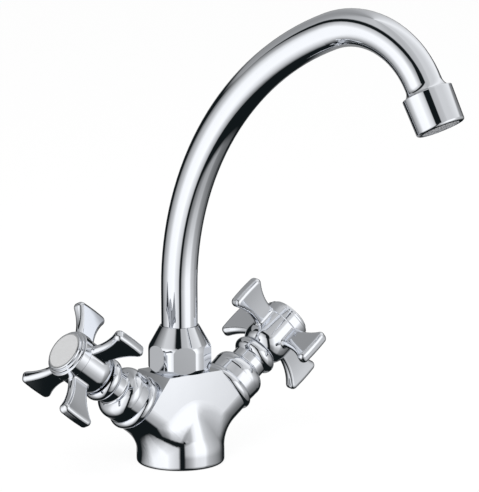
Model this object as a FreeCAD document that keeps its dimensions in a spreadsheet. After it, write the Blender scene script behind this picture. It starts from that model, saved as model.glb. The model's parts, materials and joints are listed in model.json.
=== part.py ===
"""Two-handle mixer tap with a swivelling swan-neck spout, as a parametric assembly in millimetres.

The origin is the centre of the base's underside, +Z is up, and the two valve arms lean out along +X and -X.
The spout at rest is turned away from -Y, straight ahead, by the size called spout_turn.
"""
import FreeCAD, Part
import math
import os
import re
import Sketcher

SIZES = {
    # casting: round base, waist cone above it, two tilted arms and a flat top
    "base_radius": 21.85,
    "base_round": 2.0,
    "base_straight": 10.5,
    "base_shoulder": 20.0,
    "waist_radius": 12.0,
    "waist_height": 33.0,
    "arm_tilt": 37.7,
    "arm_root": 12.6,
    "arm_radius": 13.7,
    "arm_length": 33.0,
    "casting_height": 46.6,
    "casting_blend": 22.0,
    # water ways and fastenings of the casting
    "boss_radius": 13.0,
    "boss_height": 7.4,
    "mixing_radius": 7.5,
    "mixing_floor": 27.0,
    "inlet_thread_radius": 4.5,
    "inlet_thread_depth": 12.0,
    "channel_radius": 3.5,
    "stud_hole_radius": 3.35,
    "stud_hole_depth": 12.0,
    "stud_hole_offset": 9.0,
    "base_gasket_radius": 18.6,
    "base_gasket_width": 3.0,
    "base_gasket_depth": 2.2,
    # clearances
    "thread_gap": 0.1,
    "running_gap": 0.08,
    "film_gap": 0.05,
    "free_gap": 0.3,
    # spout tube: a straight rise, a wide bend and a tight bend
    "tube_radius": 9.0,
    "tube_wall": 1.0,
    "tube_rise": 88.2,
    "wide_bend_radius": 142.9,
    "wide_bend_angle": 69.4,
    "tight_bend_radius": 42.9,
    "tight_bend_angle": 83.6,
    "spout_turn": 16.0,
    # spout foot in the casting, and the nut that holds it
    "foot_depth": 17.0,
    "foot_bore_radius": 5.8,
    "spigot_length": 8.0,
    "tube_seat": 6.0,
    "seal_width": 1.6,
    "lower_seal_height": 4.5,
    "upper_seal_height": 11.0,
    "slip_groove_radius": 8.0,
    "slip_ring_radius": 12.4,
    "slip_ring_height": 3.0,
    "nut_flats": 29.2,
    "nut_corner_radius": 15.6,
    "nut_hex_height": 10.4,
    "nut_shoulder": 3.3,
    "nut_height": 22.6,
    "nut_top_radius": 9.7,
    "nut_cone_radius": 14.75,
    "nut_chamfer": 1.4,
    "nut_chamfer_height": 2.2,
    "nut_turn": 4.5,
    # outlet end of the spout
    "collar_radius": 10.85,
    "collar_flare": 4.2,
    "collar_spigot": 4.0,
    "outlet_thread_radius": 10.4,
    "outlet_thread_length": 8.0,
    "outlet_bore_radius": 6.5,
    "housing_radius": 12.2,
    "housing_draft": 0.35,
    "housing_length": 17.9,
    "housing_chamfer": 1.2,
    "housing_lip": 1.3,
    "housing_lip_radius": 9.2,
    "outlet_washer_thickness": 1.5,
    "insert_face": 1.6,
    "insert_hole_radius": 0.95,
    "insert_hole_pitch": 2.9,
    # valve in each arm, heights along the arm from where the arms' axes cross
    "seat_height": 13.0,
    "seat_bore_radius": 8.8,
    "valve_thread_radius": 10.4,
    "valve_thread_length": 11.0,
    "valve_skirt_radius": 8.5,
    "valve_cavity_radius": 7.6,
    "valve_flange_radius": 11.8,
    "valve_flange_height": 2.0,
    "valve_hex_flats": 19.0,
    "valve_hex_height": 6.0,
    "valve_neck_radius": 7.4,
    "valve_top": 58.0,
    "seat_gasket_hole": 5.0,
    "seat_gasket_height": 3.0,
    "disc_thickness": 2.2,
    "disc_radius": 7.5,
    "driver_height": 4.0,
    "spindle_radius": 4.0,
    "spindle_length": 72.0,
    "spline_length": 9.0,
    "spline_depth": 0.45,
    "spline_teeth": 20,
    "spindle_seal_height": 46.0,
    "clip_radius": 6.0,
    "clip_thickness": 0.8,
    # bell-shaped shroud over the valve
    "shroud_flange_radius": 14.7,
    "shroud_flange_height": 5.0,
    "shroud_flange_bulge": 1.2,
    "shroud_radius": 13.65,
    "shroud_shoulder_start": 43.0,
    "shroud_shoulder_end": 49.6,
    "shroud_neck_radius": 9.1,
    "shroud_top": 54.2,
    "shroud_wall": 1.2,
    # ring nut above the shroud's neck
    "ring_bead": 5.4,
    "ring_radius": 11.4,
    "ring_bulge": 1.1,
    "ring_top": 60.4,
    # cross handle, heights from the end of the spindle, but the drum's shoulder from the drum's foot
    "drum_gap": 0.6,
    "drum_foot_radius": 9.3,
    "drum_radius": 11.8,
    "drum_shoulder": 6.4,
    "rim_radius": 12.3,
    "rim_start": 6.4,
    "rim_top": 11.5,
    "socket_depth": 3.0,
    "socket_radius": 7.0,
    "handle_web": 3.2,
    "cap_bore_radius": 6.5,
    "wing_reach": 33.0,
    "wing_low": -10.8,
    "wing_high": 11.6,
    "wing_neck_low": -4.0,
    "wing_neck_high": 8.0,
    "wing_thickness": 4.6,
    "wing_end_thickness": 6.4,
    "wing_flare_start": 16.8,
    "wing_side_radius": 28.0,
    "wing_end_bulge": 0.7,
    "wing_corner": 2.6,
    "wing_round": 2.1,
    "root_round": 1.5,
    "left_clock": 33.6,
    "right_clock": 4.2,
    # cap and screw of the handle
    "cap_radius": 11.4,
    "cap_step": 12.9,
    "cap_disc_radius": 10.2,
    "cap_top": 14.1,
    "cap_skirt_length": 4.0,
    "cap_skirt_wall": 0.9,
    "screw_radius": 2.0,
    "screw_head_radius": 3.6,
    "screw_head_height": 2.6,
    "screw_length": 9.0,
}

doc = FreeCAD.newDocument("mixer_tap")
sheet = doc.addObject("Spreadsheet::Sheet", "sizes")
for row, (alias, number) in enumerate(SIZES.items(), start=1):
    sheet.set(f"A{row}", alias)
    sheet.set(f"B{row}", str(number))
    sheet.setAlias(f"B{row}", alias)
doc.recompute()

# heights and radii that several pieces share, as expressions on the sheet
BOSS_TOP = "(casting_height + boss_height)"
FOOT_BOTTOM = f"({BOSS_TOP} - foot_depth)"
FOOT_BORE = "(tube_radius + running_gap)"
SLIP_TOP = f"({BOSS_TOP} + slip_ring_height)"
TUBE_BOTTOM = f"({BOSS_TOP} + tube_seat)"
TUBE_INSIDE = "(tube_radius - tube_wall)"
NUT_TOP = "(casting_height + nut_height)"
SEAT_X = "(seat_height * cos(arm_tilt))"
THREAD_LOW = "(arm_length - valve_thread_length)"
FIXED_LOW = "(seat_height + seat_gasket_height)"
MOVING_LOW = f"({FIXED_LOW} + disc_thickness + film_gap)"
DRIVER_LOW = f"({MOVING_LOW} + disc_thickness)"
DRIVER_TOP = f"({DRIVER_LOW} + driver_height)"
HEX_LOW = "(arm_length + valve_flange_height)"
HEX_TOP = f"({HEX_LOW} + valve_hex_height)"
CLIP_LOW = "(valve_top + running_gap)"
SCREW_DEPTH = "(screw_length - film_gap)"
WEB_TOP = "(film_gap + handle_web)"
HOUSING_LOW = "(collar_flare + film_gap)"
HOUSING_END = f"({HOUSING_LOW} + housing_length)"
INSERT_END = f"({HOUSING_END} - housing_lip)"
WASHER_LOW = f"({HOUSING_LOW} + outlet_thread_length)"
INSERT_LOW = f"({WASHER_LOW} + outlet_washer_thickness)"
OUTLET_INSIDE = "(outlet_thread_radius + thread_gap)"

pieces = []


def on_sheet(expression):
    """The same expression with each size looked up on the sheet."""
    return re.sub(r"[a-z_]+", lambda word: "sizes." + word[0] if word[0] in SIZES else word[0], expression)


def value(expression):
    """The number that an expression on the sheet has now."""
    return float(sheet.evalExpression(str(expression)))


def bind(item, attribute, expression):
    """Tie one property of an object to an expression on the sheet."""
    item.setExpression(attribute, on_sheet(expression))


def rotation(axis, angle):
    """Expression of a turn about X, Y or Z."""
    vector = {"x": "vector(1; 0; 0)", "y": "vector(0; 1; 0)", "z": "vector(0; 0; 1)"}[axis]
    return f"rotation({vector}; {angle})"


def frame(x, y, z, turn):
    """Expression of a placement."""
    return f"placement(vector({x}; {y}; {z}); {turn})"


def arm_frame(side, clock="0", height="0"):
    """Frame at a height along one arm, counted from where the arms' axes cross, with Z out along the arm."""
    tilt = rotation("y", f"{side} * (90 - arm_tilt)")
    return frame(
        f"{side} * {height} * cos(arm_tilt)",
        "0",
        f"(arm_root + {height} * sin(arm_tilt))",
        f"{tilt} * {rotation('z', clock)}",
    )


STANDING = frame("0", "0", "0", rotation("z", "0"))
AHEAD = rotation("z", "spout_turn - 90")
SPOUT = frame("0", "0", "0", AHEAD)
BENDS = "(wide_bend_angle + tight_bend_angle)"
REACH = (
    "(wide_bend_radius - (wide_bend_radius - tight_bend_radius) * cos(wide_bend_angle)"
    f" - tight_bend_radius * cos{BENDS})"
)
RISE = (
    "(tube_rise + (wide_bend_radius - tight_bend_radius) * sin(wide_bend_angle)"
    f" + tight_bend_radius * sin{BENDS})"
)
OUTLET = frame(
    f"{REACH} * sin(spout_turn)",
    f"-{REACH} * cos(spout_turn)",
    RISE,
    f"{AHEAD} * {rotation('y', BENDS)}",
)


def new_body(label, place):
    """An empty body that becomes one piece of the tap."""
    body = doc.addObject("PartDesign::Body", label)
    body.Label = label
    bind(body, "Placement", place)
    pieces.append(body)
    return body


def plane(body, role):
    """One of the body's own origin planes or axes."""
    return next(item for item in body.Origin.OriginFeatures if item.Role == role)


def new_sketch(body, name, role="XZ_Plane", lift="0", turn="0"):
    """A sketch on one of the body's origin planes, lifted along the normal and turned about it."""
    sketch = body.newObject("Sketcher::SketchObject", name)
    sketch.AttachmentSupport = [(plane(body, role), "")]
    sketch.MapMode = "FlatFace"
    sketch.AttachmentOffset = FreeCAD.Placement()
    bind(sketch, "AttachmentOffset", frame("0", "0", lift, rotation("z", turn)))
    return sketch


def hold(sketch, kind, geometry, expression):
    """Add one dimension to a sketch, tied to the sheet."""
    index = sketch.addConstraint(Sketcher.Constraint(kind, *geometry, value(expression)))
    sketch.setExpression(f"Constraints[{index}]", on_sheet(str(expression)))


def outline(sketch, corners):
    """Draw a closed outline of (x, y) corners, held by two dimensions each.

    A corner may add a radius and a side: the edge that arrives there is then an arc, which bulges to the
    left of its way for side 1 and to the right for side -1.
    """
    points = [FreeCAD.Vector(value(corner[0]), value(corner[1]), 0) for corner in corners]
    first = sketch.GeometryCount
    count = len(corners)
    for index, corner in enumerate(corners):
        start = points[index - 1]
        end = points[index]
        if len(corner) == 2:
            sketch.addGeometry(Part.LineSegment(start, end), False)
            continue
        radius = value(corner[2])
        chord = end - start
        sagitta = radius - math.sqrt(radius ** 2 - (chord.Length / 2) ** 2)
        normal = FreeCAD.Vector(-chord.y, chord.x, 0).normalize() * corner[3]
        middle = (start + end) / 2 + normal * sagitta
        sketch.addGeometry(Part.Arc(start, middle, end), False)
    for index, corner in enumerate(corners):
        edge = first + index
        following = first + (index + 1) % count
        flipped = len(corner) == 4 and corner[3] == 1
        tail = 1 if flipped else 2
        next_corner = corners[(index + 1) % count]
        head = 2 if len(next_corner) == 4 and next_corner[3] == 1 else 1
        sketch.addConstraint(Sketcher.Constraint("Coincident", edge, tail, following, head))
        for kind, axis, number in (("DistanceX", -2, corner[0]), ("DistanceY", -1, corner[1])):
            if abs(value(number)) < 1e-9:
                sketch.addConstraint(Sketcher.Constraint("PointOnObject", edge, tail, axis))
            else:
                hold(sketch, kind, (-1, 1, edge, tail), number)
        if len(corner) == 4:
            hold(sketch, "Radius", (edge,), corner[2])


def ring_outline(sketch, radius, x="0", y="0"):
    """Draw a circle held by its centre and radius."""
    centre = FreeCAD.Vector(value(x), value(y), 0)
    index = sketch.addGeometry(Part.Circle(centre, FreeCAD.Vector(0, 0, 1), value(radius)), False)
    for kind, axis, number in (("DistanceX", -2, x), ("DistanceY", -1, y)):
        if abs(value(number)) < 1e-9:
            sketch.addConstraint(Sketcher.Constraint("PointOnObject", index, 3, axis))
        else:
            hold(sketch, kind, (-1, 1, index, 3), number)
    hold(sketch, "Radius", (index,), radius)


def axis_line(sketch, start, end):
    """Draw a construction line to spin a profile about, and give its name."""
    points = [FreeCAD.Vector(value(x), value(y), 0) for x, y in (start, end)]
    index = sketch.addGeometry(Part.LineSegment(*points), True)
    for tail, corner in ((1, start), (2, end)):
        for kind, axis, number in (("DistanceX", -2, corner[0]), ("DistanceY", -1, corner[1])):
            if abs(value(number)) < 1e-9:
                sketch.addConstraint(Sketcher.Constraint("PointOnObject", index, tail, axis))
            else:
                hold(sketch, kind, (-1, 1, index, tail), number)
    return "Axis0"


def spin(body, name, corners, kind="Revolution", axis=None):
    """Add or cut a turned form: a closed profile of (radius, height) corners, spun a full turn."""
    sketch = new_sketch(body, f"{name}_profile")
    outline(sketch, corners)
    reference = axis_line(sketch, *axis) if axis else "V_Axis"
    feature = body.newObject(f"PartDesign::{kind}", name)
    feature.Profile = sketch
    feature.ReferenceAxis = (sketch, [reference])
    feature.Angle = 360
    return feature


def extrude(body, name, sketch, length, kind="Pad", both_ways=False, backwards=False):
    """Add or cut the sketch's outline over a length."""
    feature = body.newObject(f"PartDesign::{kind}", name)
    feature.Profile = sketch
    bind(feature, "Length", length)
    feature.Midplane = both_ways
    feature.Reversed = backwards
    return feature


def round_edges(body, name, base, chosen, radius):
    """Round the edges of a finished form that a test on edge and faces picks."""
    doc.recompute()
    shape = base.Shape
    names = []
    for number, edge in enumerate(shape.Edges, start=1):
        faces = shape.ancestorsOfType(edge, Part.Face)
        if chosen(edge, faces):
            names.append(f"Edge{number}")
    feature = body.newObject("PartDesign::Fillet", name)
    feature.Base = (base, names)
    bind(feature, "Radius", radius)
    body.Tip = feature
    return feature


def polar(body, name, originals, count):
    """Repeat features about the body's Z axis."""
    feature = body.newObject("PartDesign::PolarPattern", name)
    feature.Originals = originals
    feature.Axis = (plane(body, "Z_Axis"), [""])
    feature.Angle = 360
    bind(feature, "Occurrences", count)
    body.Tip = feature
    return feature


def turned(label, place, corners):
    """A whole piece made by turning one profile."""
    body = new_body(label, place)
    spin(body, f"{label}_turned", corners)
    return body


def seal_ring(label, place, radii_and_heights):
    """One or more rubber rings of round section, as one piece of separate solids."""
    rings = []
    for number, (radius, section, height) in enumerate(radii_and_heights, start=1):
        ring = doc.addObject("Part::Torus", f"{label}_{number}")
        bind(ring, "Radius1", radius)
        bind(ring, "Radius2", section)
        bind(ring, "Placement", f"{place} * {frame('0', '0', height, rotation('z', '0'))}")
        rings.append(ring)
    if len(rings) == 1:
        rings[0].Label = label
        pieces.append(rings[0])
        return
    group = doc.addObject("Part::Compound", label)
    group.Label = label
    group.Links = rings
    pieces.append(group)


def along_arm(side, radius, height):
    """Point of the XZ plane at a height along an arm and a radius below its axis."""
    x = f"{side} * (({height}) * cos(arm_tilt) + ({radius}) * sin(arm_tilt))"
    z = f"arm_root + ({height}) * sin(arm_tilt) - ({radius}) * cos(arm_tilt)"
    return x, z


def is_waist(face):
    """Whether a face belongs to the round base or to the cone above it."""
    axis = getattr(face.Surface, "Axis", None)
    return axis is not None and abs(axis.z) > 0.999 and not isinstance(face.Surface, Part.Plane)


def is_arm(face):
    """Whether a face is a flank of the casting or the round underside of an arm."""
    if isinstance(face.Surface, Part.Plane):
        return abs(face.Surface.Axis.y) > 0.999
    return isinstance(face.Surface, Part.Cylinder) and abs(face.Surface.Axis.z) < 0.999


def across_wing(point):
    """Direction through the thickness of the wing that a point of a handle belongs to."""
    return FreeCAD.Vector(0, 1, 0) if abs(point.x) > abs(point.y) else FreeCAD.Vector(1, 0, 0)


def middle_of(edge):
    """The point halfway along an edge."""
    return edge.valueAt((edge.FirstParameter + edge.LastParameter) / 2)


def crosses_wing(edge, low, high):
    """Whether an edge runs straight through a wing's thickness, between two distances from the axis."""
    point = middle_of(edge)
    straight = isinstance(edge.Curve, Part.Line) and abs(edge.Curve.Direction.dot(across_wing(point))) > 0.999
    return straight and value(low) < math.hypot(point.x, point.y) < value(high)


def is_wing_rim(edge, faces):
    """Whether an edge lies between a wing's flank and its outline."""
    point = middle_of(edge)
    broadside = [
        abs(face.normalAt(*face.Surface.parameter(point)).dot(across_wing(point))) > 0.5
        for face in faces
    ]
    outside = math.hypot(point.x, point.y) > value("drum_radius")
    return outside and any(broadside) and not all(broadside)


def is_turned(face):
    """Whether a face of a handle belongs to its drum."""
    surface = face.Surface
    if abs(getattr(surface, "Axis", FreeCAD.Vector(1, 0, 0)).z) < 0.999:
        return False
    centre = getattr(surface, "Center", FreeCAD.Vector(0, 0, 0))
    return isinstance(surface, Part.Plane) or math.hypot(centre.x, centre.y) < 1e-6


def build_casting():
    """The Y-shaped casting, with every bore and thread in it."""
    body = new_body("mixer_body", STANDING)
    end_x, end_z = "arm_length * cos(arm_tilt)", "arm_root + arm_length * sin(arm_tilt)"
    top_x = f"({end_x} - (casting_height - ({end_z})) * tan(arm_tilt))"
    sketch = new_sketch(body, "flank_outline")
    outline(sketch, [
        ("0", "arm_root"),
        (end_x, end_z),
        (top_x, "casting_height"),
        (f"-{top_x}", "casting_height"),
        (f"-{end_x}", end_z),
    ])
    extrude(body, "flanks", sketch, "2 * arm_radius", both_ways=True)
    for side, name in ((-1, "left"), (1, "right")):
        spin(
            body,
            f"{name}_arm",
            [
                along_arm(side, "0", "0"),
                along_arm(side, "0", "arm_length"),
                along_arm(side, "arm_radius", "arm_length"),
                along_arm(side, "arm_radius", "0"),
            ],
            axis=(along_arm(side, "0", "0"), along_arm(side, "0", "arm_length")),
        )
    lean = "atan((base_radius - waist_radius) / (waist_height - base_straight))"
    tangent = f"(base_shoulder * tan({lean} / 2))"
    base = spin(body, "base", [
        ("0", "0"),
        ("base_radius - base_round", "0"),
        ("base_radius", "base_round", "base_round", -1),
        ("base_radius", f"base_straight - {tangent}"),
        (
            f"base_radius - {tangent} * sin({lean})",
            f"base_straight + {tangent} * cos({lean})",
            "base_shoulder",
            -1,
        ),
        ("waist_radius", "waist_height"),
        ("0", "waist_height"),
    ])
    round_edges(
        body,
        "waist_blend",
        base,
        lambda edge, faces: any(map(is_waist, faces)) and any(map(is_arm, faces)),
        "casting_blend",
    )
    spin(body, "boss", [
        ("0", "waist_height"),
        ("boss_radius", "waist_height"),
        ("boss_radius", BOSS_TOP),
        ("0", BOSS_TOP),
    ])
    spin(body, "spout_bore", [
        ("0", "mixing_floor"),
        ("mixing_radius", "mixing_floor"),
        ("mixing_radius", f"{FOOT_BOTTOM} - free_gap"),
        (FOOT_BORE, f"{FOOT_BOTTOM} - free_gap"),
        (FOOT_BORE, f"{BOSS_TOP} + 1"),
        ("0", f"{BOSS_TOP} + 1"),
    ], "Groove")
    for side, name in ((-1, "left"), (1, "right")):
        spin(
            body,
            f"{name}_valve_bore",
            [
                along_arm(side, "0", "seat_height"),
                along_arm(side, "0", "arm_length + 1"),
                along_arm(side, "valve_thread_radius + thread_gap", "arm_length + 1"),
                along_arm(side, "valve_thread_radius + thread_gap", THREAD_LOW),
                along_arm(side, "seat_bore_radius", THREAD_LOW),
                along_arm(side, "seat_bore_radius", "seat_height"),
            ],
            "Groove",
            axis=(along_arm(side, "0", "seat_height"), along_arm(side, "0", "arm_length + 1")),
        )
        inlet = f"{side} * {SEAT_X}"
        channel_top = "arm_root + seat_height * sin(arm_tilt) + channel_radius / tan(arm_tilt) + free_gap"
        spin(
            body,
            f"{name}_inlet",
            [
                (inlet, "-1"),
                (inlet, channel_top),
                (f"{inlet} + channel_radius", channel_top),
                (f"{inlet} + channel_radius", "inlet_thread_depth"),
                (f"{inlet} + inlet_thread_radius", "inlet_thread_depth"),
                (f"{inlet} + inlet_thread_radius", "-1"),
            ],
            "Groove",
            axis=((inlet, "-1"), (inlet, channel_top)),
        )
    spin(body, "gasket_groove", [
        ("base_gasket_radius - base_gasket_width", "-1"),
        ("base_gasket_radius", "-1"),
        ("base_gasket_radius", "base_gasket_depth"),
        ("base_gasket_radius - base_gasket_width", "base_gasket_depth"),
    ], "Groove")
    stud = new_sketch(body, "stud_hole_outline", "XY_Plane")
    ring_outline(stud, "stud_hole_radius", "0", "stud_hole_offset")
    extrude(body, "stud_hole", stud, "stud_hole_depth", "Pocket", backwards=True)
    turned("base_gasket", STANDING, [
        ("base_gasket_radius - base_gasket_width + film_gap", "0"),
        ("base_gasket_radius - film_gap", "0"),
        ("base_gasket_radius - film_gap", "base_gasket_depth"),
        ("base_gasket_radius - base_gasket_width + film_gap", "base_gasket_depth"),
    ])


def build_spout():
    """The bent tube with its foot, seals and outlet."""
    body = new_body("spout_tube", SPOUT)
    path = new_sketch(body, "tube_path")
    bend_end = 180 - value("wide_bend_angle")
    wide = FreeCAD.Vector(value("wide_bend_radius"), value("tube_rise"), 0)
    turn_at = FreeCAD.Vector(math.cos(math.radians(bend_end)), math.sin(math.radians(bend_end)), 0)
    tight = wide + turn_at * (value("wide_bend_radius") - value("tight_bend_radius"))
    up = FreeCAD.Vector(0, 0, 1)
    path.addGeometry(Part.LineSegment(
        FreeCAD.Vector(0, value(TUBE_BOTTOM), 0),
        FreeCAD.Vector(0, value("tube_rise"), 0),
    ), False)
    path.addGeometry(Part.ArcOfCircle(
        Part.Circle(wide, up, value("wide_bend_radius")),
        math.radians(bend_end),
        math.pi,
    ), False)
    path.addGeometry(Part.ArcOfCircle(
        Part.Circle(tight, up, value("tight_bend_radius")),
        math.radians(bend_end - value("tight_bend_angle")),
        math.radians(bend_end),
    ), False)
    path.addConstraint(Sketcher.Constraint("PointOnObject", 0, 1, -2))
    path.addConstraint(Sketcher.Constraint("PointOnObject", 0, 2, -2))
    path.addConstraint(Sketcher.Constraint("Tangent", 0, 2, 1, 2))
    path.addConstraint(Sketcher.Constraint("Tangent", 1, 1, 2, 2))
    hold(path, "DistanceY", (-1, 1, 0, 1), TUBE_BOTTOM)
    hold(path, "DistanceY", (-1, 1, 0, 2), "tube_rise")
    hold(path, "Radius", (1,), "wide_bend_radius")
    hold(path, "Radius", (2,), "tight_bend_radius")
    for arc, angle in ((1, "wide_bend_angle"), (2, "tight_bend_angle")):
        index = path.addConstraint(Sketcher.Constraint("Angle", arc, math.radians(value(angle))))
        path.setExpression(f"Constraints[{index}]", on_sheet(f"{angle} * 1 deg"))
    section = new_sketch(body, "tube_section", "XY_Plane", TUBE_BOTTOM)
    ring_outline(section, "tube_radius")
    ring_outline(section, TUBE_INSIDE)
    pipe = body.newObject("PartDesign::AdditivePipe", "tube")
    pipe.Profile = section
    pipe.Spine = (path, [])
    groove_inside = f"{TUBE_INSIDE} - seal_width / 2 + 0.2"
    seals = [f"({FOOT_BOTTOM} + lower_seal_height)", f"({FOOT_BOTTOM} + upper_seal_height)"]
    foot = [("foot_bore_radius", FOOT_BOTTOM), ("tube_radius", FOOT_BOTTOM)]
    for seal in seals:
        foot += [
            ("tube_radius", f"{seal} - seal_width / 2 - film_gap"),
            (groove_inside, f"{seal} - seal_width / 2 - film_gap"),
            (groove_inside, f"{seal} + seal_width / 2 + film_gap"),
            ("tube_radius", f"{seal} + seal_width / 2 + film_gap"),
        ]
    foot += [
        ("tube_radius", f"{BOSS_TOP} - running_gap"),
        ("slip_groove_radius", f"{BOSS_TOP} - running_gap"),
        ("slip_groove_radius", f"{SLIP_TOP} + running_gap"),
        ("tube_radius", f"{SLIP_TOP} + running_gap"),
        ("tube_radius", TUBE_BOTTOM),
        (f"{TUBE_INSIDE} - film_gap", TUBE_BOTTOM),
        (f"{TUBE_INSIDE} - film_gap", f"{TUBE_BOTTOM} + spigot_length"),
        ("foot_bore_radius", f"{TUBE_BOTTOM} + spigot_length"),
    ]
    turned("spout_foot", SPOUT, foot)
    seal_ring("spout_seals", SPOUT, [
        ("tube_radius - seal_width / 2", "seal_width / 2", seal) for seal in seals
    ])
    turned("slip_ring", STANDING, [
        ("slip_groove_radius + running_gap", BOSS_TOP),
        ("slip_ring_radius", BOSS_TOP),
        ("slip_ring_radius", SLIP_TOP),
        ("slip_groove_radius + running_gap", SLIP_TOP),
    ])


def build_spout_nut():
    """Union nut: a hexagon with cut corners below a long cone."""
    body = new_body("spout_nut", frame("0", "0", "0", rotation("z", "nut_turn")))
    hex_top = "(casting_height + nut_hex_height)"
    spin(body, "nut_turned", [
        ("boss_radius + thread_gap", "casting_height"),
        ("nut_corner_radius - nut_chamfer", "casting_height"),
        ("nut_corner_radius", "casting_height + nut_chamfer_height"),
        ("nut_corner_radius", hex_top),
        ("nut_cone_radius", f"{hex_top} + nut_shoulder", "2 * nut_shoulder", -1),
        ("nut_top_radius", NUT_TOP),
        ("tube_radius + free_gap", NUT_TOP),
        ("tube_radius + free_gap", f"{SLIP_TOP} + film_gap"),
        ("boss_radius + thread_gap", f"{SLIP_TOP} + film_gap"),
    ])
    flats = new_sketch(body, "hexagon", "XY_Plane", "casting_height")
    corner = "nut_flats / 2 / cos(30)"
    outline(flats, [(f"{corner} * cos({60 * k + 30})", f"{corner} * sin({60 * k + 30})") for k in range(6)])
    ring_outline(flats, "nut_flats")
    extrude(body, "flats", flats, "nut_height", "Pocket", backwards=True)


def build_outlet():
    """End fitting of the tube, outlet shell, washer and flow straightener."""
    turned("outlet_collar", OUTLET, [
        ("outlet_bore_radius", "-collar_spigot"),
        (f"{TUBE_INSIDE} - film_gap - collar_spigot ^ 2 / 2 / tight_bend_radius", "-collar_spigot"),
        (f"{TUBE_INSIDE} - film_gap", "0"),
        ("tube_radius", "0"),
        ("collar_radius", "collar_flare", "collar_flare + 1", 1),
        ("outlet_thread_radius", "collar_flare"),
        ("outlet_thread_radius", WASHER_LOW),
        ("outlet_bore_radius", WASHER_LOW),
    ])
    turned("aerator_gasket", OUTLET, [
        ("outlet_bore_radius", WASHER_LOW),
        ("outlet_thread_radius", WASHER_LOW),
        ("outlet_thread_radius", INSERT_LOW),
        ("outlet_bore_radius", INSERT_LOW),
    ])
    turned("aerator_housing", OUTLET, [
        (OUTLET_INSIDE, HOUSING_LOW),
        ("housing_radius - housing_chamfer / 3", HOUSING_LOW),
        ("housing_radius", f"{HOUSING_LOW} + housing_chamfer / 3", "housing_chamfer / 3", -1),
        ("housing_radius - housing_draft", f"{HOUSING_END} - housing_chamfer"),
        ("housing_radius - housing_draft - housing_chamfer", HOUSING_END, "housing_chamfer", -1),
        ("housing_lip_radius", HOUSING_END),
        ("housing_lip_radius", INSERT_END),
        (OUTLET_INSIDE, INSERT_END),
    ])
    body = new_body("aerator_insert", OUTLET)
    spin(body, "insert_cup", [
        ("0", f"{INSERT_END} - insert_face"),
        ("outlet_bore_radius", f"{INSERT_END} - insert_face"),
        ("outlet_bore_radius", INSERT_LOW),
        ("outlet_thread_radius", INSERT_LOW),
        ("outlet_thread_radius", INSERT_END),
        ("0", INSERT_END),
    ])
    holes = new_sketch(body, "straightener_holes", "XY_Plane", INSERT_END)
    ring_outline(holes, "insert_hole_radius")
    for ring in (1, 2):
        for side in range(6):
            for step in range(ring):
                across = (ring - step) * math.cos(math.radians(60 * side))
                across += step * math.cos(math.radians(60 * side + 60))
                along = (ring - step) * math.sin(math.radians(60 * side))
                along += step * math.sin(math.radians(60 * side + 60))
                ring_outline(
                    holes,
                    "insert_hole_radius",
                    f"insert_hole_pitch * {across:.6f}",
                    f"insert_hole_pitch * {along:.6f}",
                )
    extrude(body, "straightener", holes, "insert_face", "Pocket")


def build_valve(name, side):
    """Everything screwed into one arm that stands still."""
    place = arm_frame(side)
    body = new_body(f"{name}_valve_body", place)
    spin(body, f"{name}_valve_turned", [
        ("valve_cavity_radius", FIXED_LOW),
        ("valve_skirt_radius", FIXED_LOW),
        ("valve_skirt_radius", THREAD_LOW),
        ("valve_thread_radius", THREAD_LOW),
        ("valve_thread_radius", "arm_length"),
        ("valve_flange_radius", "arm_length"),
        ("valve_flange_radius", HEX_LOW),
        ("valve_hex_flats / 2 / cos(30)", HEX_LOW),
        ("valve_hex_flats / 2 / cos(30)", HEX_TOP),
        ("valve_neck_radius", HEX_TOP),
        ("valve_neck_radius", "valve_top"),
        ("spindle_radius + running_gap", "valve_top"),
        ("spindle_radius + running_gap", f"{DRIVER_TOP} + running_gap"),
        ("valve_cavity_radius", f"{DRIVER_TOP} + running_gap"),
    ])
    flats = new_sketch(body, f"{name}_valve_hexagon", "XY_Plane", HEX_LOW)
    corner = "valve_hex_flats / 2 / cos(30)"
    outline(flats, [(f"{corner} * cos({60 * k})", f"{corner} * sin({60 * k})") for k in range(6)])
    ring_outline(flats, "valve_hex_flats")
    extrude(body, f"{name}_valve_flats", flats, "valve_hex_height", "Pocket", backwards=True)
    windows = new_sketch(body, f"{name}_valve_windows")
    outline(windows, [
        ("-disc_radius / 2", f"{MOVING_LOW}"),
        ("disc_radius / 2", f"{MOVING_LOW}"),
        ("disc_radius / 2", f"{THREAD_LOW} - film_gap"),
        ("-disc_radius / 2", f"{THREAD_LOW} - film_gap"),
    ])
    extrude(body, f"{name}_valve_ports", windows, "4 * valve_skirt_radius", "Pocket", both_ways=True)
    turned(f"{name}_seat_gasket", place, [
        ("seat_gasket_hole", "seat_height"),
        ("disc_radius", "seat_height"),
        ("disc_radius", FIXED_LOW),
        ("seat_gasket_hole", FIXED_LOW),
    ])
    build_disc(f"{name}_fixed_disc", place, FIXED_LOW)
    build_shroud(name, place)


def build_disc(label, place, low):
    """A ceramic disc with two ports in opposite quarters."""
    body = new_body(label, place)
    sketch = new_sketch(body, f"{label}_outline", "XY_Plane", low)
    ring_outline(sketch, "disc_radius")
    for sign in (-1, 1):
        ring_outline(sketch, "disc_radius * 0.22", f"{sign} * disc_radius / 2", "0")
    extrude(body, f"{label}_plate", sketch, "disc_thickness")


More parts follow.
